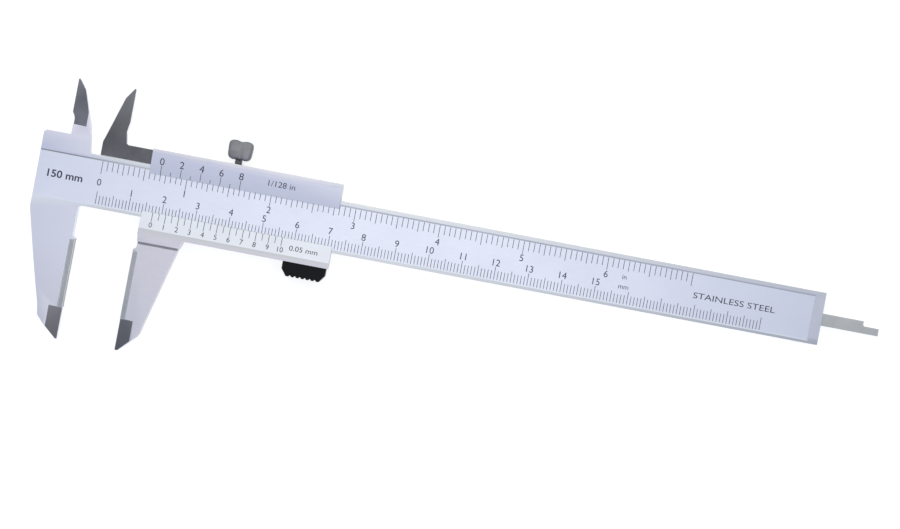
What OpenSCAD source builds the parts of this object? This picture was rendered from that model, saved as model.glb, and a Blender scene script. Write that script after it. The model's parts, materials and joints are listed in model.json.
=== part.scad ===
// Vernier caliper with outside jaws, inside jaws, depth rod and lock screw.
// It lies on its back: X runs along the beam towards the depth rod, Y towards the inside
// jaws, and Z out of the graduated face. Outlines are drawn from the datum corner, where the
// fixed measuring face meets the lower edge of the beam, and then moved to the row's origin.

/* [Opening] */
// Distance between the outside measuring faces as drawn, which is also the reading
opening = 17.4; // [0.5:0.1:150]

/* [Beam] */
// Length of the beam from the fixed measuring face to its free end
beam_l = 221.6; // [216:0.2:240]
// Width of the beam
beam_w = 15.75; // [15.6:0.05:16]
// Thickness of the beam and of the jaws
beam_t = 3.5; // [3.3:0.05:3.6]
// Length of the fixed jaw block to the left of the measuring face
block_l = 14.9; // [14.8:0.1:16]
// Height of the fixed block's upper edge above the beam's lower edge
block_h = 20.3; // [20:0.1:20.6]
// Width of the raised rail along the lower edge of the graduated face
lower_rail_w = 1.1; // [0.8:0.1:1.4]
// Width of the raised rail along its upper edge
upper_rail_w = 1.6; // [1.2:0.1:1.8]
// Depth of the graduated face below the rails and the end land
face_drop = 0.2; // [0.1:0.01:0.25]

/* [Outside jaws] */
// Depth of the outside jaws below the beam
jaw_depth = 40.2; // [39:0.1:42]
// Depth of the step that narrows each measuring face
strip_step = 0.45; // [0.2:0.05:0.8]
// Thickness of the ground tips at the measuring face
tip_t = 1.2; // [0.8:0.1:2]
// Length of the ground tips along the measuring face
tip_l = 9.5; // [8:0.5:12]

/* [Inside jaws] */
// Height of the inside jaw tips above the beam's lower edge
inside_h = 37.2; // [36.9:0.1:38]
// Distance of the inside measuring edges to the left of the outside measuring faces
inside_back = 7.85; // [7.7:0.05:8]
// Thickness of the inside jaws at their measuring edges
edge_t = 0.5; // [0.3:0.1:1]

/* [Slider] */
// Length of the slider from its measuring face to its right end
slider_l = 57.8; // [56.5:0.1:58.2]
// Thickness of the slider's back plate
plate_t = 1.3; // [1.1:0.05:1.3]
// Overall thickness of the slider
slider_t = 6.3; // [6:0.1:7]
// Height of the slider's upper edge above the beam's lower edge
slider_top = 20.6; // [20.4:0.1:21]
// Distance of the slider's lower edge below the beam
slider_drop = 4.9; // [4.7:0.1:5.2]
// Height of the upper scale lip's edge
upper_lip = 13.3; // [13:0.1:13.6]
// Height of the lower scale lip's edge
lower_lip = 1.9; // [1.6:0.1:2.2]

/* [Depth rod] */
// Width of the depth rod
rod_w = 3.7; // [3:0.1:4]
// Thickness of the depth rod
rod_t = 1.8; // [1.5:0.1:1.9]
// Length of the rod's narrow tip
rod_tip_l = 4.8; // [3:0.2:6]
// Width of the rod's narrow tip
rod_tip_w = 2.2; // [1.5:0.1:2.4]

/* [Lock screw] */
// Place of the lock screw along the slider, from the measuring face
lock_u = 25.8; // [24:0.1:28]
// Diameter of the lock screw's stud
stud_d = 2.4; // [2:0.1:2.5]
// Width across the two wings of the head
head_w = 7.2; // [6.8:0.1:7.4]
// Height of the head
head_h = 5.9; // [5.6:0.1:6.4]
// Thickness of the head
head_t = 3.2; // [2.8:0.1:3.6]

/* [Thumb grip] */
// Place of the thumb grip's left end along the slider
grip_u = 44.3; // [43:0.1:44.6]
// Length of the thumb grip
grip_l = 13.0; // [12.6:0.1:13.2]
// Depth of the thumb grip below the slider
grip_h = 4.3; // [3.6:0.1:4.4]
// Pitch of its ridges
grip_pitch = 1.5; // [1.4:0.05:1.6]

/* [Hidden] */

eps = 0.1;
$fn = 48;

// Running clearance between the slider and the beam
slide_gap = 0.05;
// Levels above the table
beam_z0 = plate_t + slide_gap;
beam_z1 = beam_z0 + beam_t;
mid_z = (beam_z0 + beam_z1) / 2;
lip_z = beam_z1 + slide_gap;
lip_edge_t = 0.25;
// Length of the raised land at the beam's free end, and width of the slopes around the face
end_land = 3.3;
face_slope = 0.4;

// The origin is the middle of the base of the box around the whole caliper
origin_x = (beam_l + opening - block_l) / 2;
origin_y = (inside_h - jaw_depth) / 2;

// Depth rod, and the groove that it runs in
rod_u = 2.0;
rod_mid = 7.75;
rod_y = rod_mid - rod_w / 2;
rod_z0 = beam_z0 + 0.07;
rod_gap = 0.06;
groove_x0 = 0.9;
groove_t = 2.0;
foot_l = 12;

// Rivets that hold the rod's foot to the back plate
rivet_r = 0.8;
rivet_head_r = 1.4;
rivet_head_t = 0.6;
rivet_depth = 2.6;
rivet_u = [5.0, 11.0];

// Plate on the back of the beam that stops the slider and keeps the rod in its groove
stop_x0 = beam_l - 8.2;
stop_x1 = beam_l - 0.2;
stop_y0 = 1.2;
stop_y1 = beam_w - 1.2;
stop_z0 = 0.05;
stop_r = 1.0;
stop_hole_x = (stop_x0 + stop_x1) / 2;
stop_hole_y = [3.3, beam_w - 3.3];
stop_screw_r = 0.8;
stop_head_r = 1.4;
stop_head_t = 0.6;
stop_screw_l = 3.8;
slot_w = 0.4;
slot_t = 0.35;

// Gib strip between the beam's upper edge and the slider's upper rail
gib_t = 0.7;
gib_u0 = 2;
gib_u1 = slider_l - 2;
gib_w = 2.8;
gib_y0 = beam_w + slide_gap;
gib_y1 = gib_y0 + gib_t;
rail_y = gib_y1 + slide_gap;
gib_screw_u = [9, slider_l - 9];
gib_screw_r = 1.0;
gib_screw_top = slider_top - 0.6;
dog_r = 0.5;
dog_l = 0.35;

// Lock screw
stud_r = stud_d / 2;
lock_bore_r = stud_r + 0.05;
pad_top = gib_y1 + 0.9;
head_y = slider_top + 1.2;
stud_top = head_y + 3.4;
web_w = 3.4;
web_y0 = 0.75;
web_y1 = head_h - 0.95;
hub_r = 1.75;

// Thumb grip and its pins
grip_z0 = 0.7;
grip_z1 = slider_t - 0.6;
grip_pin_r = 0.6;
grip_pin_l = 4.3;
grip_pin_u = [grip_u + 3.3, grip_u + grip_l - 3.3];
grip_pin_y = -slider_drop - grip_pin_l / 2;
grip_ridges = 7;
grip_groove_r = 0.42;
grip_corner = [1.6, 2.1];

// Outside jaws: the relief next to the beam, the stepped strip and the tip
relief_x = 0.9;
relief_y = 9.0;
face_y = 9.8;
strip_y0 = 10.3;
strip_y1 = jaw_depth - tip_l;
strip_w = 1.5;
tip_w = 4.0;
// The slider stays thick this far below the beam, above the moving jaw
root_y = 7.2;
// Lower edge of the arm that carries the moving inside jaw, just clear of the beam
foot_gap = 0.08;
foot_y = beam_w + foot_gap;
groove_line = 0.75;
groove_line_t = 0.5;
slider_u0 = 0.6;
// How far the inside jaw's arm runs into the slider
arm_overlap = 0.5;

module placed() {
    translate([-origin_x, -origin_y, 0]) children();
}

// Everything on the slider is drawn from the moving measuring face
module on_slider() {
    placed() translate([opening, 0, 0]) children();
}

module prism_z(points, z0, z1) {
    translate([0, 0, z0]) linear_extrude(z1 - z0) polygon(points);
}

// Section in X and Z, run along Y
module prism_y(points, y0, y1) {
    translate([0, y1, 0]) rotate([90, 0, 0]) linear_extrude(y1 - y0) polygon(points);
}

// Section in Y and Z, run along X
module prism_x(points, x0, x1) {
    translate([x0, 0, 0]) rotate([90, 0, 90]) linear_extrude(x1 - x0) polygon(points);
}

module box(low, high) {
    translate(low) cube(high - low);
}

module rod_along_y(r, x, z, y0, y1) {
    translate([x, y0, z]) rotate([-90, 0, 0]) cylinder(r = r, h = y1 - y0);
}

module rounded(w, h, r) {
    translate([r, 0]) square([w - 2 * r, h]);
    translate([0, r]) square([w, h - 2 * r]);
    for (x = [r, w - r], y = [r, h - r])
        translate([x, y]) circle(r);
}

// Flat countersunk head with its rim at z0 and its shank up to z1
module countersunk(x, y, z0, z1, r, head_r, head_t) {
    translate([x, y, z0]) cylinder(r1 = head_r, r2 = r, h = head_t);
    translate([x, y, z0]) cylinder(r = r, h = z1 - z0);
}

function fixed_outline() = [
    [-block_l, block_h - 0.7], [-block_l + 0.7, block_h],
    [-6.9, block_h], [-6.9, 25.0], [-7.2, 25.9], [-inside_back, 27.0],
    [-inside_back, inside_h - 0.5], [-7.55, inside_h], [-6.9, 36.5], [-5.0, 34.0],
    [-3.6, 30.0], [-2.8, 27.5], [-1.5, 24.0], [-0.7, 20.0], [-0.3, 17.0], [0, beam_w],
    [beam_l, beam_w], [beam_l, 0], [-0.3, 0], [-relief_x, -0.6],
    [-relief_x, -relief_y], [0, -face_y], [0, -jaw_depth], [-0.6, -jaw_depth + 0.05],
    [-4.9, -jaw_depth + 4.0], [-6.9, -jaw_depth + 6.2], [-7.5, -30.5], [-9.1, -25],
    [-11, -18], [-13.2, -9.5], [-14.5, -4.5], [-block_l, -2.6]
];

function moving_outline() = [
    [slider_u0, -2], [slider_u0, -slider_drop], [0.75, -slider_drop - 0.4], [relief_x, -root_y],
    [relief_x, -relief_y], [0, -face_y], [0, -jaw_depth], [0.9, -jaw_depth + 0.05],
    [4.9, -jaw_depth + 4.1], [5.9, -jaw_depth + 5.05], [6.5, -jaw_depth + 6.2],
    [7.2, -31], [9.2, -23], [11.3, -15], [13.2, -7.5], [14.2, -slider_drop], [14.2, -2]
];

function inside_moving_outline() = [
    [-block_l, foot_y], [-block_l, 20.0], [-14.4, 21.5], [-12.9, 26.3], [-12.1, 29.0],
    [-10.6, 33.8], [-9.8, 35.0], [-8.5, 36.9], [-8.1, inside_h],
    [-inside_back, inside_h - 0.5], [-inside_back, 27.0], [-8.1, 25.6], [-8.3, 24.0],
    [-7.7, block_h + 0.3], [-7.2, block_h], [slider_u0 + arm_overlap, block_h],
    [slider_u0 + arm_overlap, rail_y], [slider_u0, rail_y], [slider_u0, foot_y]
];

// Removes the ground bevels of a jaw tip, whose measuring face lies at x = 0 and whose body
// lies on the side given by the sign
module tip_bevels(side, w) {
    top = mid_z + tip_t / 2;
    bottom = mid_z - tip_t / 2;
    prism_y([[side * w, beam_z1], [0, top], [-side, top], [-side, beam_z1 + 1], [side * w, beam_z1 + 1]],
            -jaw_depth - 1, -strip_y1);
    prism_y([[side * w, beam_z0], [0, bottom], [-side, bottom], [-side, beam_z0 - 1],
             [side * w, beam_z0 - 1]], -jaw_depth - 1, -strip_y1);
}

// Removes the steps that narrow a measuring face, on the front and on the back
module strip_steps(side, w) {
    x0 = min(-side * eps, side * w);
    x1 = max(-side * eps, side * w);
    box([x0, -strip_y1 - 0.001, beam_z1 - strip_step], [x1, -strip_y0, beam_z1 + 1]);
    box([x0, -strip_y1 - 0.001, beam_z0 - 1], [x1, -strip_y0, beam_z0 + strip_step]);
}

// Removes the graduated face between the two rails and the end land, with sloping sides
module graduated_face() {
    floor_z = beam_z1 - face_drop;
    above = 1;
    spread = face_slope * (face_drop + above) / face_drop;
    y0 = lower_rail_w;
    y1 = beam_w - upper_rail_w;
    x1 = beam_l - end_land;
    intersection() {
        prism_x([[y0, floor_z], [y1, floor_z], [y1 + spread, beam_z1 + above], [y0 - spread, beam_z1 + above]],
                -block_l - 1, beam_l);
        prism_y([[-block_l - 1, floor_z], [x1, floor_z], [x1 + spread, beam_z1 + above],
                 [-block_l - 1, beam_z1 + above]], -1, beam_w + 1);
    }
}

module main_beam() {
    color("silver") placed() difference() {
        prism_z(fixed_outline(), beam_z0, beam_z1);
        graduated_face();
        // Room behind the fixed block for the moving inside jaw
        box([-block_l - 1, beam_w, beam_z0 - 1], [1, inside_h + 1, mid_z + slide_gap / 2]);
        // Ground bevel of the inside jaw
        prism_y([[-9, mid_z + edge_t - 0.3], [-9, beam_z1 + 1], [-2.9, beam_z1 + 1], [-2.9, beam_z1],
                 [-inside_back, mid_z + edge_t]], 23.3, inside_h + 1);
        // Groove for the depth rod
        box([groove_x0, rod_y - rod_gap, beam_z0 - 1],
            [beam_l + 1, rod_y + rod_w + rod_gap, beam_z0 + groove_t]);
        strip_steps(-1, strip_w);
        tip_bevels(-1, tip_w);
        for (y = stop_hole_y)
            translate([stop_hole_x, y, beam_z0 - 1]) cylinder(r = stop_screw_r, h = stop_screw_l - beam_z0 + 1);
    }
}

module end_stop_plate() {
    color("gainsboro") placed() difference() {
        translate([stop_x0, stop_y0, stop_z0]) linear_extrude(beam_z0 - stop_z0)
            rounded(stop_x1 - stop_x0, stop_y1 - stop_y0, stop_r);
        for (y = stop_hole_y)
            countersunk(stop_hole_x, y, stop_z0, beam_z0 + 1, stop_screw_r, stop_head_r, stop_head_t);
    }
}

module stop_screw(y) {
    x = stop_hole_x;
    color("dimgray") placed() difference() {
        countersunk(x, y, stop_z0, stop_screw_l, stop_screw_r, stop_head_r, stop_head_t);
        box([x - 2, y - slot_w / 2, stop_z0 - 1], [x + 2, y + slot_w / 2, stop_z0 + slot_t]);
    }
}

module stop_screw_upper() {
    stop_screw(stop_hole_y[1]);
}

module stop_screw_lower() {
    stop_screw(stop_hole_y[0]);
}

// Top of the moving jaw, as thick as the slider and flush with the jaw's outline
module thick_root() {
    intersection() {
        prism_z(moving_outline(), 0, slider_t);
        box([0, -root_y, 0], [slider_l, -slider_drop + eps, slider_t]);
    }
}

module slider() {
    section = [
        [-slider_drop, 0], [slider_top, 0], [slider_top, slider_t], [slider_top - 1.4, slider_t],
        [upper_lip, lip_z + lip_edge_t], [upper_lip, lip_z], [rail_y, lip_z], [rail_y, plate_t],
        [-slide_gap, plate_t], [-slide_gap, lip_z], [lower_lip, lip_z],
        [lower_lip, lip_z + lip_edge_t], [-slider_drop + 1.7, slider_t], [-slider_drop, slider_t]
    ];
    color("lightsteelblue") on_slider() difference() {
        union() {
            prism_x(section, slider_u0, slider_l);
            thick_root();
            difference() {
                prism_z(moving_outline(), beam_z0, beam_z1);
                box([-1, -slide_gap, beam_z0 - 1], [slider_l, beam_w, beam_z1 + 1]);
            }
            prism_z(inside_moving_outline(), beam_z0, mid_z - slide_gap / 2);
        }
        // Ground line where the jaw leaves the thick root
        box([0.5, -root_y - groove_line, beam_z1 - groove_line_t], [20, -root_y, beam_z1 + 1]);
        strip_steps(1, strip_w);
        tip_bevels(1, tip_w);
        // Ground bevel on the back of the inside jaw
        prism_y([[-12.8, beam_z0 - 1], [-12.8, beam_z0], [-inside_back, mid_z - edge_t],
                 [-6.5, mid_z - edge_t + 0.3], [-6.5, beam_z0 - 1]], 23.3, inside_h + 1);
        rod_along_y(lock_bore_r, lock_u, mid_z, rail_y - eps, slider_top + eps);
        for (u = gib_screw_u)
            rod_along_y(gib_screw_r, u, mid_z, rail_y - eps, slider_top + eps);
        for (u = rivet_u)
            countersunk(u, rod_mid, 0, plate_t + eps, rivet_r, rivet_head_r, rivet_head_t);
        for (u = grip_pin_u)
            rod_along_y(grip_pin_r, u, mid_z, -slider_drop - eps, grip_pin_y + grip_pin_l);
    }
}

module depth_rod() {
    rod_end = beam_l;
    color("darkgray") on_slider() difference() {
        union() {
            box([rod_u, rod_y, rod_z0], [rod_end, rod_y + rod_w, rod_z0 + rod_t]);
            box([rod_u, rod_y, plate_t], [rod_u + foot_l, rod_y + rod_w, rod_z0 + eps]);
        }
        // The tip is narrowed from its upper side, with a round inner corner
        box([rod_end - rod_tip_l + 0.6, rod_y + rod_tip_w, 0], [rod_end + 1, rod_y + rod_w + 1, 5]);
        box([rod_end - rod_tip_l, rod_y + rod_tip_w + 0.6, 0], [rod_end + 1, rod_y + rod_w + 1, 5]);
        translate([rod_end - rod_tip_l + 0.6, rod_y + rod_tip_w + 0.6, 0]) cylinder(r = 0.6, h = 5);
        for (u = rivet_u)
            translate([u, rod_mid, 0]) cylinder(r = rivet_r, h = rivet_depth);
    }
}

module rod_rivet(u) {
    color("gray") on_slider()
        countersunk(u, rod_mid, 0, rivet_depth, rivet_r, rivet_head_r, rivet_head_t);
}

module rod_rivet_left() {
    rod_rivet(rivet_u[0]);
}

module rod_rivet_right() {
    rod_rivet(rivet_u[1]);
}

module gib_strip() {
    color("goldenrod") on_slider() difference() {
        box([gib_u0, gib_y0, mid_z - gib_w / 2], [gib_u1, gib_y1, mid_z + gib_w / 2]);
        for (u = gib_screw_u)
            rod_along_y(dog_r, u, mid_z, gib_y1 - dog_l, gib_y1 + eps);
    }
}

// Slotted set screw whose dog point keeps the gib strip from creeping out
module gib_screw(u) {
    color("dimgray") on_slider() difference() {
        union() {
            rod_along_y(gib_screw_r, u, mid_z, gib_y1, gib_screw_top);
            rod_along_y(dog_r, u, mid_z, gib_y1 - dog_l, gib_y1 + eps);
        }
        box([u - 2, gib_screw_top - slot_t, mid_z - slot_w / 2],
            [u + 2, gib_screw_top + 1, mid_z + slot_w / 2]);
    }
}

module gib_screw_left() {
    gib_screw(gib_screw_u[0]);
}

module gib_screw_right() {
    gib_screw(gib_screw_u[1]);
}

module thumb_grip() {
    x1 = grip_u + grip_l;
    y0 = -slider_drop - grip_h;
    outline = [
        [grip_u, -slider_drop], [grip_u, y0 + grip_corner[1]], [grip_u + grip_corner[0], y0],
        [x1 - grip_corner[0], y0], [x1, y0 + grip_corner[1]], [x1, -slider_drop]
    ];
    middle = grip_u + grip_l / 2;
    first = middle - (grip_ridges - 2) / 2 * grip_pitch;
    color([0.07, 0.07, 0.08]) on_slider() difference() {
        prism_z(outline, grip_z0, grip_z1);
        for (i = [0 : grip_ridges - 2])
            translate([first + i * grip_pitch, y0, 0]) cylinder(r = grip_groove_r, h = slider_t);
        for (u = grip_pin_u)
            rod_along_y(grip_pin_r, u, mid_z, grip_pin_y, -slider_drop + eps);
    }
}

module grip_pin(u) {
    color("gray") on_slider() rod_along_y(grip_pin_r, u, mid_z, grip_pin_y, grip_pin_y + grip_pin_l);
}

module grip_pin_left() {
    grip_pin(grip_pin_u[0]);
}

module grip_pin_right() {
    grip_pin(grip_pin_u[1]);
}

module lock_pad() {
    color("gold") on_slider() rod_along_y(stud_r, lock_u, mid_z, gib_y1, pad_top);
}

module lock_screw_stud() {
    color("dimgray") on_slider() rod_along_y(stud_r, lock_u, mid_z, pad_top, stud_top);
}

// Two rounded wings that lean apart, joined by a lower web
module head_outline() {
    wing_w = 3.7;
    wing_r = 1.4;
    lean = 3;
    for (side = [0, 1])
        mirror([side, 0]) translate([head_w / 2, 0]) rotate(-lean)
            translate([-wing_w, 0]) rounded(wing_w, head_h, wing_r);
    translate([-web_w / 2, web_y0]) square([web_w, web_y1 - web_y0]);
}

module lock_screw_head() {
    color("darkgray") on_slider() difference() {
        union() {
            translate([lock_u, head_y, mid_z - head_t / 2]) linear_extrude(head_t) head_outline();
            rod_along_y(hub_r, lock_u, mid_z, head_y + web_y0 - 0.35, stud_top + 0.6);
        }
        rod_along_y(stud_r, lock_u, mid_z, head_y - eps, stud_top);
    }
}

main_beam();
end_stop_plate();
stop_screw_upper();
stop_screw_lower();
slider();
depth_rod();
rod_rivet_left();
rod_rivet_right();
gib_strip();
gib_screw_left();
gib_screw_right();
thumb_grip();
grip_pin_left();
grip_pin_right();
lock_pad();
lock_screw_stud();
lock_screw_head();
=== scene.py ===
import json
import math

import bmesh
import bpy
from mathutils import Matrix, Vector


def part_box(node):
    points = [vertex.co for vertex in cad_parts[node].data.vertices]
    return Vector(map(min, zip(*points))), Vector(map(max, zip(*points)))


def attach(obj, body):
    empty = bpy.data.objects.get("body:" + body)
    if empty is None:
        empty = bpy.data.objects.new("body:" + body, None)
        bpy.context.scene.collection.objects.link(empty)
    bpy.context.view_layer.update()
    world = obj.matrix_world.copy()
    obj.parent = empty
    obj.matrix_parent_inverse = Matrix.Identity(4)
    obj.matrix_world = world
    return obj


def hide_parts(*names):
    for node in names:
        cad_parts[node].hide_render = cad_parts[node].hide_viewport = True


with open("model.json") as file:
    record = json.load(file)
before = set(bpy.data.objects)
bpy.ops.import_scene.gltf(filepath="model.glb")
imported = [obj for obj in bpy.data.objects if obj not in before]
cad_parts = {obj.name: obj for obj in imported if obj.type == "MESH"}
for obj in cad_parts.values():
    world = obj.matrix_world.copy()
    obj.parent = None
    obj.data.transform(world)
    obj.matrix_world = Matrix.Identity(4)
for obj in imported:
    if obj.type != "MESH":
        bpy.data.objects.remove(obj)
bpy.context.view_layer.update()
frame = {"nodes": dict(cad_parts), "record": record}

MM = 0.001
MOUNTS = {mount["name"]: Vector(mount["pos_m"]) for mount in frame["record"]["mounts"]}
NODES = frame["nodes"]

# Datum corner: the fixed measuring face meets the lower edge of the beam
JAW_DEPTH = 40.2 * MM
BEAM_LOW, BEAM_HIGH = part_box("main_beam")
SLIDER_TOP_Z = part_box("slider")[1].z
HEAD_LOW, HEAD_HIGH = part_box("lock_screw_head")
STUD_LOW, STUD_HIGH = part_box("lock_screw_stud")
DATUM = Vector((MOUNTS["fixed_outside_face"].x, BEAM_LOW.y + JAW_DEPTH, 0))
OPENING = MOUNTS["moving_outside_face"].x - DATUM.x
FACE_DROP = 0.2 * MM
FACE_Z = BEAM_HIGH.z - FACE_DROP
MIDDLE_Z = MOUNTS["fixed_outside_face"].z

# Places on the CAD nodes, in millimetres from the datum corner. Each lip has the Y of its edge over the
# beam and the Y of its far side.
BEAM_TOP_Y = 15.75
INSIDE_JAW_Y = 23.3
ARM_ROOT_Y = -7.6
STRIP_TOP_Y = -9.7
TIP_TOP_Y = -30.7
END_LAND_X = 217.2
LOWER_LIP = (1.9, -3.2)
UPPER_LIP = (13.3, 19.2)

# Stepped strips of the outside jaws, with a little room, in millimetres
STRIP_WIDTH = 1.6
STRIP_HALF_THICKNESS = 1.4

# Engraved scales: the zero's place from the datum corner, and the size of the lines
SCALE_ZERO = 3.9 * MM
INCH = 25.4 * MM
LINE_WIDTH = 0.17 * MM
LINE_DEPTH = 0.05 * MM
LIP_EDGE_Z = BEAM_HIGH.z + 0.3 * MM

# Modifiers of the CAD nodes
WELD_GAP = 0.005 * MM
FLAT_ANGLE = math.radians(0.5)
SMOOTH_ANGLE = math.radians(24.5)
EDGE_ANGLE = math.radians(40)
EDGE_WIDTH = 0.05 * MM
WIDE_EDGE_WIDTH = 0.1 * MM


def at(x, y, z=0.0):
    """A point given in millimetres from the datum corner, in the frame's metres."""
    return DATUM + Vector((x, y, z)) * MM


# ---------------------------------------------------------------- materials

def new_material(name, colour, metallic, roughness):
    """A plain material, with its node tree and its shader."""
    material = bpy.data.materials.new(name)
    material.use_nodes = True
    shader = material.node_tree.nodes["Principled BSDF"]
    shader.inputs["Base Color"].default_value = (*colour, 1)
    shader.inputs["Metallic"].default_value = metallic
    shader.inputs["Roughness"].default_value = roughness
    return material, material.node_tree, shader


def add_node(tree, kind, **values):
    """A node with the given values, each for the input or the property of that name."""
    node = tree.nodes.new(kind)
    for key, value in values.items():
        if key in node.inputs:
            node.inputs[key].default_value = value
        else:
            setattr(node, key, value)
    return node


def noise(tree, scale, detail=4.0, rough=0.55):
    """Noise in object space; scale holds the cycles per metre along X, Y and Z."""
    where = add_node(tree, "ShaderNodeTexCoord")
    mapping = add_node(tree, "ShaderNodeMapping", Scale=scale)
    pattern = add_node(tree, "ShaderNodeTexNoise", Scale=1.0, Detail=detail, Roughness=rough)
    tree.links.new(where.outputs["Object"], mapping.inputs["Vector"])
    tree.links.new(mapping.outputs["Vector"], pattern.inputs["Vector"])
    return pattern.outputs["Fac"]


def ranged(tree, source, low, high, start=0.3, end=0.7):
    """Turns start to end of the source into low to high; the defaults suit noise."""
    node = add_node(tree, "ShaderNodeMapRange")
    node.inputs["From Min"].default_value = start
    node.inputs["From Max"].default_value = end
    node.inputs["To Min"].default_value = low
    node.inputs["To Max"].default_value = high
    tree.links.new(source, node.inputs["Value"])
    return node.outputs["Result"]


def colour_between(tree, factor, low, high):
    """Mixes two colours; each is a triple or another node's output."""
    node = add_node(tree, "ShaderNodeMix", data_type="RGBA")
    colour_sockets = [socket for socket in node.inputs if socket.type == "RGBA"]
    for socket, colour in zip(colour_sockets, (low, high)):
        if isinstance(colour, tuple):
            socket.default_value = (*colour, 1)
        else:
            tree.links.new(colour, socket)
    tree.links.new(factor, node.inputs["Factor"])
    return next(socket for socket in node.outputs if socket.type == "RGBA")


def add_bump(tree, shader, height, strength, distance):
    bump = add_node(tree, "ShaderNodeBump", Strength=strength, Distance=distance)
    tree.links.new(height, bump.inputs["Height"])
    tree.links.new(bump.outputs["Normal"], shader.inputs["Normal"])


def place_mask(tree, axis, start, end):
    """Rises from 0 at start to 1 at end along one axis, in metres."""
    where = add_node(tree, "ShaderNodeTexCoord")
    split = add_node(tree, "ShaderNodeSeparateXYZ")
    tree.links.new(where.outputs["Object"], split.inputs["Vector"])
    return ranged(tree, split.outputs[axis], 0.0, 1.0, start, end)


def metal(name, low, high, rough_low, rough_high, grain, cloud, bump=0.08, land=None):
    """Metal whose colour drifts slowly and whose roughness and bumps follow a fine grain.

    land is a pair of functions: a second colour, and the mask of where the metal has it. The second
    colours paint light and shade onto the metal."""
    material, tree, shader = new_material(name, high, 1.0, rough_high)
    slow = noise(tree, (cloud, cloud, cloud), 3.0)
    lines = noise(tree, grain, 5.0, 0.6)
    colour = colour_between(tree, ranged(tree, slow, 0.0, 1.0), low, high)
    if land:
        second_colour, mask = land
        colour = colour_between(tree, mask(tree), colour, second_colour(tree))
    tree.links.new(colour, shader.inputs["Base Color"])
    tree.links.new(ranged(tree, lines, rough_low, rough_high), shader.inputs["Roughness"])
    add_bump(tree, shader, lines, bump, 0.02 * MM)
    return material


def raised(tree):
    """A mask of everything on the beam's front that stands above the graduated face, where the rails'
    painted light and shade shows.
    """
    return place_mask(tree, "Z", BEAM_HIGH.z - 0.12 * MM, BEAM_HIGH.z - 0.04 * MM)


def beyond(axis, start, end):
    """A mask that rises between two places on one axis, in millimetres from the datum corner."""
    def mask(tree):
        origin = DATUM["XYZ".index(axis)]
        return place_mask(tree, axis, origin + start * MM, origin + end * MM)
    return mask


def graded(axis, start, end, low, high):
    """A colour that runs from low to high between two places, given as for beyond()."""
    return lambda tree: colour_between(tree, beyond(axis, start, end)(tree), low, high)


def land_colour(tree):
    """Rails and end land of the beam, then the block with the outside and the inside jaw, in painted
    light and shade: darker towards the beam's far end and on the lower rail, lighter on the end land,
    and on the block darker towards the outside jaw's tip and lighter by the inside jaw.
    """
    upper = graded("X", 90, 210, (0.66, 0.69, 0.73), (0.58, 0.60, 0.67))(tree)
    lower = graded("X", 90, 210, (0.59, 0.61, 0.66), (0.48, 0.50, 0.56))(tree)
    rails = colour_between(tree, beyond("Y", 4, 8)(tree), lower, upper)
    end = colour_between(tree, beyond("Y", 1, 2)(tree), rails, (0.61, 0.625, 0.71))
    end = colour_between(tree, beyond("Y", 13.3, 14)(tree), end, rails)
    rails = colour_between(tree, beyond("X", END_LAND_X, END_LAND_X + 1)(tree), rails, end)
    block = graded("Y", -12, -40, (0.66, 0.675, 0.785), (0.59, 0.595, 0.67))(tree)
    block = colour_between(tree, beyond("Y", 18, 22)(tree), block, (0.76, 0.735, 0.85))
    return colour_between(tree, beyond("X", 6, -2)(tree), rails, block)


# Grain in cycles per metre: long along the direction of the last polish
ALONG_X = (250, 9000, 9000)
ALONG_Y = (9000, 250, 9000)
FINE = (16000, 16000, 16000)

# Second colours of some metals, each with its mask: painted light and shade, lighter towards +Y, where
# the light comes from, and darker away from it or along a step.
# Painted shade on the slider's front: darker below Y = 5 mm, away from the light, most near Y = -3 mm.
SLIDER_PAINTED_SHADE = (graded("Y", -6, -3, (0.585, 0.58, 0.655), (0.53, 0.54, 0.585)), beyond("Y", 5, -3))
# Painted light on the upper scale lip: lighter towards +Y, towards the light.
UPPER_LIP_PAINTED_LIGHT = (graded("Y", 14, 20, (0.655, 0.67, 0.745), (0.705, 0.712, 0.80)), beyond("Y", 6, 9))
# Painted shade on the bevels of the outside tips: darker towards the tips, away from the light.
TIP_BEVELS_PAINTED_SHADE = (graded("Y", -31, -40, (0.18, 0.182, 0.204), (0.14, 0.142, 0.156)), beyond("Y", 0, -20))
# Painted shade on the front of the inside jaw's arm: darkest next to the slider's body, lighter out
# towards +Y.
ARM_TOP_PAINTED_SHADE = (graded("Y", 17, 35, (0.11, 0.111, 0.123), (0.185, 0.185, 0.205)), beyond("Y", 20, 30))
# Painted shade on the slope below the upper rail: darker towards the beam's left end, over the jaw
# block.
WALL_END_PAINTED_SHADE = (graded("X", 12, -4, (0.54, 0.535, 0.55), (0.32, 0.32, 0.34)), beyond("X", 20, 8))

# The beam's rails, end land and jaw block take painted light and shade over the chrome.
chrome_beam = metal("satin_chrome_beam", (0.68, 0.71, 0.83), (0.72, 0.75, 0.87),
                    0.30, 0.42, ALONG_X, 60, land=(land_colour, raised))
chrome_slider = metal("satin_chrome_slider", (0.63, 0.63, 0.71), (0.68, 0.68, 0.75),
                      0.30, 0.42, ALONG_X, 60, land=SLIDER_PAINTED_SHADE)
# A brighter copy of the slider's chrome for the sloping scale lips: a painted highlight.
chrome_lip_painted_highlight = metal("satin_chrome_lip", (0.72, 0.73, 0.82), (0.77, 0.78, 0.87),
                   0.30, 0.42, ALONG_X, 60, land=UPPER_LIP_PAINTED_LIGHT)
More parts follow.
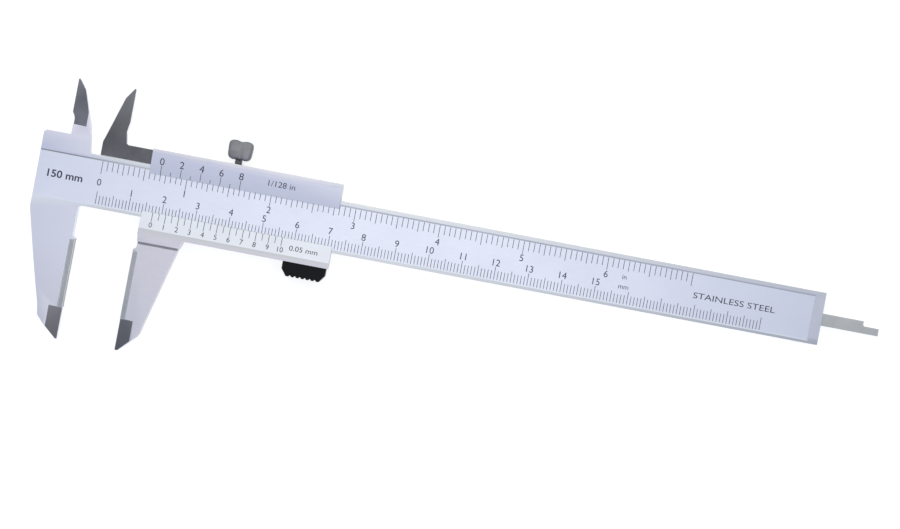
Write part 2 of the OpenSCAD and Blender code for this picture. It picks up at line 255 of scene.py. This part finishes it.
# Rounded edges: real wear, and a lighter colour than the faces beside them, a painted highlight.
edge_wear_and_highlight = metal("edge_wear_and_highlight", (0.66, 0.67, 0.70), (0.80, 0.80, 0.82),
                  0.18, 0.30, FINE, 300, 0.05)
ground_bevels = metal("ground_bevels", (0.175, 0.178, 0.20), (0.26, 0.26, 0.29),
                      0.24, 0.40, ALONG_Y, 130, 0.2, land=TIP_BEVELS_PAINTED_SHADE)
ground_arm = metal("ground_arm", (0.086, 0.089, 0.10), (0.135, 0.135, 0.153),
                   0.24, 0.40, ALONG_Y, 130, 0.2, land=ARM_TOP_PAINTED_SHADE)
# The slope below the upper rail: a darker, neutral grey, painted shade along the rail's step.
wall_painted_shade = metal("wall_painted_shade", (0.58, 0.57, 0.58), (0.63, 0.62, 0.63),
                    0.30, 0.42, ALONG_X, 60, land=WALL_END_PAINTED_SHADE)
ground_face = metal("ground_face", (0.31, 0.33, 0.365), (0.38, 0.40, 0.435),
                    0.20, 0.34, ALONG_Y, 130, 0.15)
rod_steel = metal("rod_steel", (0.48, 0.49, 0.49), (0.58, 0.59, 0.59),
                  0.25, 0.40, ALONG_X, 90, 0.15)
plate_steel = metal("plate_steel", (0.42, 0.43, 0.46), (0.52, 0.53, 0.56),
                    0.28, 0.42, ALONG_X, 90, 0.12)
black_steel = metal("black_steel", (0.05, 0.05, 0.055), (0.10, 0.10, 0.11),
                    0.30, 0.50, FINE, 400)
rivet_steel = metal("rivet_steel", (0.38, 0.38, 0.41), (0.50, 0.50, 0.53),
                    0.26, 0.40, ALONG_X, 150)
bronze = metal("gib_bronze", (0.50, 0.30, 0.14), (0.66, 0.42, 0.21),
               0.28, 0.42, ALONG_X, 120)
brass = metal("pad_brass", (0.62, 0.46, 0.18), (0.78, 0.60, 0.26),
              0.25, 0.40, FINE, 200)
stud_steel = metal("stud_steel", (0.22, 0.22, 0.24), (0.32, 0.32, 0.34),
                   0.25, 0.40, FINE, 300, 0.1)
zinc = metal("satin_nickel", (0.205, 0.205, 0.222), (0.29, 0.29, 0.31),
             0.30, 0.46, FINE, 260, 0.15)


def paint_fill():
    material, tree, shader = new_material("scale_paint", (0.02, 0.02, 0.03), 0.0, 0.55)
    cloud = noise(tree, (900, 900, 900), 3.0)
    tree.links.new(colour_between(tree, cloud, (0.02, 0.02, 0.04), (0.07, 0.07, 0.12)),
                   shader.inputs["Base Color"])
    tree.links.new(ranged(tree, cloud, 0.45, 0.65), shader.inputs["Roughness"])
    return material


def moulded_plastic():
    material, tree, shader = new_material("black_plastic", (0.01, 0.01, 0.012), 0.0, 0.5)
    shader.inputs["Specular IOR Level"].default_value = 0.15
    grain = noise(tree, FINE, 6.0)
    tree.links.new(colour_between(tree, grain, (0.002, 0.002, 0.003), (0.007, 0.007, 0.009)),
                   shader.inputs["Base Color"])
    tree.links.new(ranged(tree, grain, 0.40, 0.58), shader.inputs["Roughness"])
    add_bump(tree, shader, grain, 0.25, 0.03 * MM)
    return material


ink = paint_fill()
plastic = moulded_plastic()


# ---------------------------------------------------------------- finish of the CAD nodes

def dress(node, *materials):
    """Gives a CAD node its materials; all its faces take the first."""
    mesh = NODES[node].data
    mesh.materials.clear()
    for material in materials:
        mesh.materials.append(material)


def refinish(node, material, test):
    """Faces that pass the test take another of the node's materials; the test gets a face's centre,
    in millimetres from the datum corner, and its normal."""
    slot = NODES[node].data.materials.find(material.name)
    for face in NODES[node].data.polygons:
        if test((face.center - DATUM) / MM, face.normal):
            face.material_index = slot


def shade_by_angle():
    """Smooth shading between faces that meet at a small angle."""
    group = bpy.data.node_groups.new("shade_by_angle", "GeometryNodeTree")
    group.interface.new_socket("Geometry", in_out="INPUT", socket_type="NodeSocketGeometry")
    group.interface.new_socket("Geometry", in_out="OUTPUT", socket_type="NodeSocketGeometry")
    start = group.nodes.new("NodeGroupInput")
    end = group.nodes.new("NodeGroupOutput")
    plain = add_node(group, "GeometryNodeRemoveAttribute", Name="custom_normal")
    smooth = add_node(group, "GeometryNodeSetShadeSmooth", domain="FACE")
    crease = add_node(group, "GeometryNodeSetShadeSmooth", domain="EDGE")
    crease.inputs["Shade Smooth"].default_value = False
    angle = group.nodes.new("GeometryNodeInputMeshEdgeAngle")
    sharp = add_node(group, "FunctionNodeCompare", data_type="FLOAT", operation="GREATER_THAN")
    sharp.inputs["B"].default_value = SMOOTH_ANGLE
    group.links.new(angle.outputs["Unsigned Angle"], sharp.inputs["A"])
    group.links.new(sharp.outputs["Result"], crease.inputs["Selection"])
    chain = [start, plain, smooth, crease, end]
    for first, second in zip(chain, chain[1:]):
        group.links.new(first.outputs["Geometry"], second.inputs["Geometry"])
    return group


SHADING = shade_by_angle()


def shade(piece, flat_faces=True):
    """Shades a piece by angle; flat_faces keeps its large faces flat beside their rounded edges."""
    piece.modifiers.new("shading", "NODES").node_group = SHADING
    if not flat_faces:
        return
    weighted = piece.modifiers.new("flat_faces", "WEIGHTED_NORMAL")
    weighted.weight = 100
    weighted.keep_sharp = True


def soften(node, width):
    """Rounds the sharp edges of a CAD node. On a node that has the edge material, the rounded edges take
    it: wear, and a lighter colour that paints a highlight; else they look like the faces beside them."""
    weld = NODES[node].modifiers.new("weld", "WELD")
    weld.merge_threshold = WELD_GAP
    planes = NODES[node].modifiers.new("planes", "DECIMATE")
    planes.decimate_type = "DISSOLVE"
    planes.angle_limit = FLAT_ANGLE
    planes.delimit = {"MATERIAL"}
    edges = NODES[node].modifiers.new("edges", "BEVEL")
    edges.width = width
    edges.segments = 2
    edges.limit_method = "ANGLE"
    edges.angle_limit = EDGE_ANGLE
    edges.use_clamp_overlap = False
    edges.loop_slide = False
    edges.material = NODES[node].data.materials.find(edge_wear_and_highlight.name)
    NODES[node].modifiers.new("triangles", "TRIANGULATE")


# Tests for refinish(). A face looks along an axis when that part of its normal is above FACING, and
# lies flat when its normal's Z is above LEVEL.
FACING = 0.9
LEVEL = 0.995


def on_bevel(centre, normal):
    """The bevels of the outside tips and of the inside jaws."""
    on_jaw = centre.y < TIP_TOP_Y or centre.y > INSIDE_JAW_Y - 0.1
    return on_jaw and 0.1 < abs(normal.z) < LEVEL


def bevel_end(centre, normal):
    """The small faces at the foot of the inside jaw's bevels."""
    return abs(normal.y) > FACING and abs(centre.y - INSIDE_JAW_Y) < 0.05


def on_strip(side, centre):
    """Whether a face is on the stepped strip of a jaw; side is the direction that the strip looks in."""
    edge_x = 0 if side > 0 else OPENING / MM
    across = side * (centre.x - edge_x)
    return -STRIP_WIDTH < across < 0.01 and TIP_TOP_Y < centre.y < STRIP_TOP_Y


def measuring_face(side):
    """The face of a strip, which touches the work."""
    return lambda centre, normal: on_strip(side, centre) and normal.x * side > FACING


def strip_steps(side):
    """The steps in front of and behind a measuring face."""
    def test(centre, normal):
        in_step = abs(centre.z - MIDDLE_Z / MM) < STRIP_HALF_THICKNESS
        return on_strip(side, centre) and in_step and normal.x * side > -0.1
    return test


def inside_arm(centre, normal):
    """The front of the arm that carries the moving inside jaw."""
    return normal.z > FACING and centre.y > BEAM_TOP_Y and abs(centre.z - MIDDLE_Z / MM) < 0.1


def scale_lip(centre, normal):
    """The two sloping faces that carry the vernier scales."""
    on_lips = LOWER_LIP[1] - 0.8 < centre.y < UPPER_LIP[1] + 0.3
    return on_lips and centre.x > OPENING / MM and 0.8 < normal.z < LEVEL


def face_wall(centre, normal):
    """The slope between the graduated face and the beam's upper rail."""
    return 10 < centre.y < BEAM_TOP_Y and 0.8 < normal.z < 0.97 and normal.y < -0.3


def root_line(centre, normal):
    """The step across the root of the moving outside jaw."""
    return abs(centre.y - ARM_ROOT_Y) < 0.5 and centre.x > OPENING / MM and 4.2 < centre.z < 4.8


dress("main_beam", chrome_beam, edge_wear_and_highlight, ground_bevels, ground_face, wall_painted_shade)
refinish("main_beam", ground_face, strip_steps(1))
refinish("main_beam", ground_bevels, measuring_face(1))
refinish("main_beam", ground_bevels, on_bevel)
refinish("main_beam", ground_bevels, bevel_end)
# The slope below the upper rail takes the painted shade of the rail's step.
refinish("main_beam", wall_painted_shade, face_wall)
dress("slider", chrome_slider, edge_wear_and_highlight, ground_bevels, ground_face, ground_arm, chrome_lip_painted_highlight)
refinish("slider", ground_face, strip_steps(-1))
refinish("slider", ground_bevels, measuring_face(-1))
refinish("slider", ground_bevels, on_bevel)
refinish("slider", ground_arm, inside_arm)
refinish("slider", ground_bevels, root_line)
# The scale lips take the brighter chrome, a painted highlight.
refinish("slider", chrome_lip_painted_highlight, scale_lip)
dress("end_stop_plate", plate_steel, edge_wear_and_highlight)
dress("depth_rod", rod_steel, edge_wear_and_highlight)
dress("gib_strip", bronze)
dress("lock_pad", brass)
dress("thumb_grip", plastic)
for screw in ("stop_screw_upper", "stop_screw_lower", "gib_screw_left", "gib_screw_right"):
    dress(screw, black_steel)
for pin in ("rod_rivet_left", "rod_rivet_right", "grip_pin_left", "grip_pin_right"):
    dress(pin, rivet_steel)

WIDE_EDGED = ("main_beam", "slider", "end_stop_plate")
for name in NODES:
    soften(name, WIDE_EDGE_WIDTH if name in WIDE_EDGED else EDGE_WIDTH)


# ---------------------------------------------------------------- engraving

def new_object(name, data):
    made = bpy.data.objects.new(name, data)
    bpy.context.scene.collection.objects.link(made)
    return made


def mesh_from(bm, name, material):
    """Turns a finished bmesh into an object with one material."""
    mesh = bpy.data.meshes.new(name)
    bm.to_mesh(mesh)
    bm.free()
    mesh.materials.append(material)
    return new_object(name, mesh)


def add_box(bm, low, high):
    made = bmesh.ops.create_cube(bm, size=1.0)["verts"]
    size = high - low
    middle = (low + high) / 2
    for vert in made:
        vert.co = Vector((vert.co.x * size.x, vert.co.y * size.y, vert.co.z * size.z)) + middle


def flip_slivers(part, most=200, no_area=1e-6):
    """Turns the longest edge of every triangle that has no area."""
    for _ in range(most):
        sliver = next((face for face in part.faces if face.calc_area() < no_area), None)
        if not sliver:
            return
        longest = max(sliver.edges, key=lambda edge: edge.calc_length())
        bmesh.ops.rotate_edges(part, edges=[longest])


def add_text(bm, words, height, middle, stretch=1.0, bold=0.0):
    """Adds some words as closed solids that run LINE_DEPTH above and below z = 0."""
    curve = bpy.data.curves.new("words", "FONT")
    curve.body = words
    curve.size = 1.0
    curve.resolution_u = 5
    curve.offset = bold
    curve.extrude = 0.5
    text = new_object("words", curve)
    mesh = bpy.data.meshes.new_from_object(text)
    bpy.data.objects.remove(text)
    bpy.data.curves.remove(curve)
    part = bmesh.new()
    part.from_mesh(mesh)
    bpy.data.meshes.remove(mesh)
    bmesh.ops.remove_doubles(part, verts=part.verts, dist=0.008)
    flip_slivers(part)
    low = min(v.co.y for v in part.verts)
    high = max(v.co.y for v in part.verts)
    left = min(v.co.x for v in part.verts)
    right = max(v.co.x for v in part.verts)
    scale = height / (high - low)
    for vert in part.verts:
        vert.co.x = (vert.co.x - (left + right) / 2) * scale * stretch + middle[0]
        vert.co.y = (vert.co.y - (low + high) / 2) * scale + middle[1]
        vert.co.z = vert.co.z * 2 * LINE_DEPTH
    bmesh.ops.recalc_face_normals(part, faces=part.faces)
    joined = bpy.data.meshes.new("joined")
    part.to_mesh(joined)
    part.free()
    bm.from_mesh(joined)
    bpy.data.meshes.remove(joined)


def combine(piece, other, body, operation):
    """Cuts a hidden helper out of a piece, or joins it on."""
    other.hide_render = True
    other.display_type = "WIRE"
    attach(other, body)
    step = piece.modifiers.new(other.name, "BOOLEAN")
    step.object = other
    step.operation = operation
    step.solver = "EXACT"
    step.material_mode = "TRANSFER"


def engrave(node, body, name, build, place):
    """Cuts marks into a CAD node; the bottoms of the cuts take the paint of the cutter."""
    bm = bmesh.new()
    build(bm)
    bmesh.ops.transform(bm, matrix=place, verts=bm.verts)
    combine(NODES[node], mesh_from(bm, name, ink), body, "DIFFERENCE")


def tick(bm, x, y0, y1):
    """One mark of a scale; y0 and y1 are its ends, in either order."""
    add_box(bm, Vector((x - LINE_WIDTH / 2, min(y0, y1), -LINE_DEPTH)),
            Vector((x + LINE_WIDTH / 2, max(y0, y1), LINE_DEPTH)))


def mark_end(n, ends):
    """Where mark n of a scale ends; ends pairs each step, widest first, with the end of its marks."""
    return next(place for step, place in ends if n % step == 0) * MM


def main_scales(bm):
    """Millimetres along the beam's lower side, sixteenths of an inch along its upper side."""
    numeral = 2.0 * MM
    metric_ends = ((10, 5.0), (5, 4.6), (1, 3.9))
    inch_ends = ((16, 10.3), (8, 10.6), (4, 11.0), (1, 11.4))
    for n in range(201):
        tick(bm, SCALE_ZERO + n * MM, 1.25 * MM, mark_end(n, metric_ends))
    for n in range(7 * 16 + 1):
        tick(bm, SCALE_ZERO + n * INCH / 16, 14.1 * MM, mark_end(n, inch_ends))
    for n in range(1, 16):
        add_text(bm, str(n), numeral, (SCALE_ZERO + n * 10 * MM, 6.3 * MM))
    for n in range(1, 7):
        add_text(bm, str(n), numeral, (SCALE_ZERO + n * INCH, 9.1 * MM))
    add_text(bm, "0", numeral, (SCALE_ZERO, 7.8 * MM))
    add_text(bm, "mm", 0.95 * MM, (162.1 * MM, 6.1 * MM))
    add_text(bm, "in", 1.35 * MM, (161.9 * MM, 9.2 * MM))
    add_text(bm, "STAINLESS STEEL", 1.75 * MM, (195.2 * MM, 7.8 * MM), 1.32)
    add_text(bm, "150 mm", 2.3 * MM, (-6.4 * MM, 7.9 * MM), 1.1, 0.02)


def metric_vernier(bm):
    """Twenty divisions of 1.95 mm, numbered every second one; the lip's edge is at y = 0."""
    ends = ((2, -2.7), (1, -2.1))
    for n in range(21):
        tick(bm, n * 1.95 * MM, 0.3 * MM, mark_end(n, ends))
    for n in range(11):
        add_text(bm, str(n), 1.55 * MM, (n * 3.9 * MM, -3.7 * MM))
    add_text(bm, "0.05 mm", 1.5 * MM, (45.8 * MM, -2.7 * MM), 1.15)


def inch_vernier(bm):
    """Eight divisions that together span fifteen sixteenths of an inch; the lip's edge is at y = 0."""
    division = 15 * INCH / 16 / 8
    ends = ((2, 2.6), (1, 1.2))
    for n in range(9):
        tick(bm, n * division, -0.3 * MM, mark_end(n, ends))
    for n in range(0, 9, 2):
        add_text(bm, str(n), 2.1 * MM, (n * division, 3.9 * MM))
    add_text(bm, "1/128 in", 1.7 * MM, (36.0 * MM, 3.65 * MM), 1.1)


def lip_place(edge_y, far_y):
    """Frame on a sloping lip of the slider, with the zero mark at its origin. Lengths along its y are
    as seen from the front."""
    edge = Vector((0, edge_y, LIP_EDGE_Z / MM))
    slope = math.atan((SLIDER_TOP_Z - LIP_EDGE_Z) / MM / (far_y - edge_y))
    zero = DATUM + Vector((OPENING + SCALE_ZERO, 0, 0)) + edge * MM
    stretch = Matrix.Diagonal((1, 1 / math.cos(slope), 1, 1))
    return Matrix.Translation(zero) @ Matrix.Rotation(slope, 4, "X") @ stretch


engrave("main_beam", "beam", "scale_cuts", main_scales,
        Matrix.Translation(DATUM + Vector((0, 0, FACE_Z))))
engrave("slider", "sliding_jaw", "metric_vernier_cuts", metric_vernier, lip_place(*LOWER_LIP))
engrave("slider", "sliding_jaw", "inch_vernier_cuts", inch_vernier, lip_place(*UPPER_LIP))

for name in NODES:
    shade(NODES[name])


# ---------------------------------------------------------------- lock screw

LOCK_AXIS = (STUD_LOW + STUD_HIGH) / 2
THREAD_PITCH = 0.45 * MM


def ring_around(bm, y, radius_at, sides, turned_by=0.0):
    """Vertices around the lock screw's axis; radius_at gives the radius at a share of a turn."""
    ring = []
    for k in range(sides):
        turn = (k + turned_by) / sides
        angle = math.tau * turn
        radius = radius_at(turn)
        ring.append(bm.verts.new((LOCK_AXIS.x + radius * math.cos(angle), y,
                                  LOCK_AXIS.z + radius * math.sin(angle))))
    return ring


def bridge(bm, first, second):
    """Faces between two rings; a ring that is one vertex many times over gives triangles."""
    for k in range(len(first)):
        following = (k + 1) % len(first)
        corners = (first[k], second[k], second[following], first[following])
        bm.faces.new(list(dict.fromkeys(corners)))


def threaded_stud():
    """M2.5 stud: a grid of rings whose radius follows the thread's helix."""
    sides, steps_per_turn = 40, 8
    crest = (STUD_HIGH.x - STUD_LOW.x) / 2
    depth = 0.2 * MM
    chamfer = 0.35 * MM
    length = STUD_HIGH.y - STUD_LOW.y
    count = round(length / THREAD_PITCH * steps_per_turn)

    def radius(along, turn):
        """Flat crests and roots with straight flanks between them, and a chamfer at the lower end."""
        flank = abs(2 * ((along / THREAD_PITCH - turn) % 1.0) - 1)
        groove = min(1.0, max(0.0, flank * 1.3 - 0.15))
        return crest - depth * groove - max(0.0, chamfer - along) * 0.6

    bm = bmesh.new()
    rings = []
    for i in range(count + 1):
        along = length * i / count
        rings.append(ring_around(bm, STUD_LOW.y + along, lambda turn: radius(along, turn), sides))
    for first, second in zip(rings, rings[1:]):
        bridge(bm, first, second)
    bm.faces.new(rings[0])
    bm.faces.new(list(reversed(rings[-1])))
    bmesh.ops.recalc_face_normals(bm, faces=bm.faces)
    stud = mesh_from(bm, "threaded_stud", stud_steel)
    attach(stud, "lock_screw")
    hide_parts("lock_screw_stud")
    shade(stud)


def turned(name, profile, sides=48):
    """Closed turned solid on the lock screw's axis: radius and height above the head's lowest point."""
    bm = bmesh.new()
    rings = []
    for radius, height in profile:
        y = HEAD_LOW.y + height * MM
        if radius == 0:
            rings.append([bm.verts.new((LOCK_AXIS.x, y, LOCK_AXIS.z))] * sides)
        else:
            # Turned a little, so that no vertex lies in the head's plane of symmetry
            rings.append(ring_around(bm, y, lambda turn: radius * MM, sides, turned_by=0.3))
    for first, second in zip(rings, rings[1:]):
        bridge(bm, first, second)
    bmesh.ops.recalc_face_normals(bm, faces=bm.faces)
    return mesh_from(bm, name, zinc)


def bell(x, width, power=2):
    """1 at x = 0, falling to 0 over about one width to each side."""
    return math.exp(-(x / width) ** power)


def wing_rim(half, sides):
    """Outline of the head about its middle: a superellipse with a notch above and a wider one below."""
    squareness = 0.46
    outline = []
    for k in range(sides):
        cosine, sine = math.cos(math.tau * k / sides), math.sin(math.tau * k / sides)
        x = half.x * math.copysign(abs(cosine) ** squareness, cosine)
        y = half.y * math.copysign(abs(sine) ** squareness, sine)
        taper = 0.955 + 0.045 * y / half.y
        if y > 0:
            y -= 0.5 * MM * bell(x, 0.55 * MM)
        else:
            y += 0.75 * MM * bell(x, 1.2 * MM, 4)
        outline.append((x * taper, y))
    return outline


def wing_head():
    """Cast head with two lobes: rings of the outline, from a pillow-shaped face to the rim and back."""
    half = (HEAD_HIGH - HEAD_LOW) / 2
    middle = (HEAD_HIGH + HEAD_LOW) / 2
    outline = wing_rim(half, sides=72)
    shares = [0.15, 0.3, 0.45, 0.6, 0.74, 0.85, 0.92, 0.965, 0.99, 1.0]

    def level(share, x):
        """Height of the pillow over the middle, with a shallow valley between the lobes."""
        return half.z * (1 - share ** 7) ** 0.16 * (1 - 0.05 * bell(x, 0.7 * MM))

    bm = bmesh.new()

    def ring(share, side):
        return [bm.verts.new((middle.x + x * share, middle.y + y * share,
                              middle.z + side * level(share, x * share))) for x, y in outline]

    def pole(side):
        return [bm.verts.new((middle.x, middle.y, middle.z + side * level(0, 0)))] * len(outline)

    front = [pole(1)] + [ring(share, 1) for share in shares]
    back = [pole(-1)] + [ring(share, -1) for share in shares[:-1]] + [front[-1]]
    for rings in (front, back):
        for first, second in zip(rings, rings[1:]):
            bridge(bm, first, second)
    bmesh.ops.recalc_face_normals(bm, faces=bm.faces)
    head = mesh_from(bm, "wing_head", zinc)
    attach(head, "lock_screw")
    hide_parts("lock_screw_head")
    head.modifiers.new("smooth_cast", "SUBSURF").render_levels = 2
    head.modifiers.new("triangles", "TRIANGULATE")
    hub = turned("head_hub", [(0, 0.15), (1.35, 0.15), (1.75, 0.55), (1.75, 1.1), (1.3, 2.4), (0, 2.4)])
    combine(head, hub, "lock_screw", "UNION")
    bore = turned("head_bore", [(0, -1.0), (1.2, -1.0), (1.2, 3.4), (0, 3.4)])
    combine(head, bore, "lock_screw", "DIFFERENCE")
    shade(head, flat_faces=False)


threaded_stud()
wing_head()


# ---------------------------------------------------------------- stage, light and camera

def add_floor():
    """A light table: white, and faintly lit from below."""
    bpy.ops.mesh.primitive_plane_add(size=6.0, location=(0, 0, -0.02 * MM))
    floor = bpy.context.object
    floor.name = "floor"
    material, _, shader = new_material("light_table", (0.35, 0.35, 0.35), 0.0, 0.9)
    shader.inputs["Emission Color"].default_value = (1, 1, 1, 1)
    shader.inputs["Emission Strength"].default_value = 0.8
    floor.data.materials.append(material)


def add_area(name, place, aim, size, power, colour):
    """A soft oval lamp that the camera does not see."""
    lamp = bpy.data.lights.new(name, "AREA")
    lamp.shape = "ELLIPSE"
    lamp.size, lamp.size_y = size
    lamp.energy = power
    lamp.color = colour
    made = new_object(name, lamp)
    made.location = place
    made.rotation_mode = "QUATERNION"
    made.rotation_quaternion = (Vector(aim) - Vector(place)).to_track_quat("-Z", "Y")
    made.visible_camera = False


def add_camera():
    """Looks straight down at the caliper, from a distance that puts picture_width across the picture."""
    lens, sensor = 100.0, 36.0
    picture_width = 266.6 * MM
    tilt = math.radians(10.75)
    camera = bpy.data.cameras.new("camera")
    camera.lens = lens
    camera.sensor_width = sensor
    camera.clip_end = 10.0
    made = new_object("camera", camera)
    picture_middle = at(110.46, 3.23, 4.0)
    made.location = picture_middle + Vector((0, 0, picture_width * lens / sensor))
    made.rotation_euler = (0, 0, tilt)
    bpy.context.scene.camera = made


def add_world():
    """Studio dome: bluish and darker towards -Y, neutral and brighter towards +Y."""
    world = bpy.data.worlds.new("studio")
    world.use_nodes = True
    tree = world.node_tree
    background = tree.nodes["Background"]
    where = add_node(tree, "ShaderNodeTexCoord")
    split = add_node(tree, "ShaderNodeSeparateXYZ")
    tree.links.new(where.outputs["Generated"], split.inputs["Vector"])
    lower = ranged(tree, split.outputs["Y"], 0.0, 1.0, -0.4, 0.0)
    upper = ranged(tree, split.outputs["Y"], 0.0, 1.0, 0.0, 0.42)
    front = colour_between(tree, lower, (0.63, 0.69, 0.86), (0.59, 0.615, 0.665))
    dome = colour_between(tree, upper, front, (1.07, 1.12, 1.08))
    side = ranged(tree, split.outputs["Y"], 0.0, 1.0, -0.7, 0.1)
    horizon = colour_between(tree, side, (0.26, 0.28, 0.33), (0.50, 0.52, 0.56))
    low = ranged(tree, split.outputs["Z"], 0.0, 1.0, 0.6, 0.2)
    tree.links.new(colour_between(tree, low, dome, horizon), background.inputs["Color"])
    background.inputs["Strength"].default_value = 1.0
    bpy.context.scene.world = world


add_floor()
add_world()
add_area("soft_top", place=(-0.034, 0.0, 0.42), aim=(-0.034, 0, 0), size=(0.32, 0.22),
         power=0.120, colour=(1.0, 0.92, 0.82))
add_camera()
bpy.context.scene.view_settings.view_transform = "Standard"
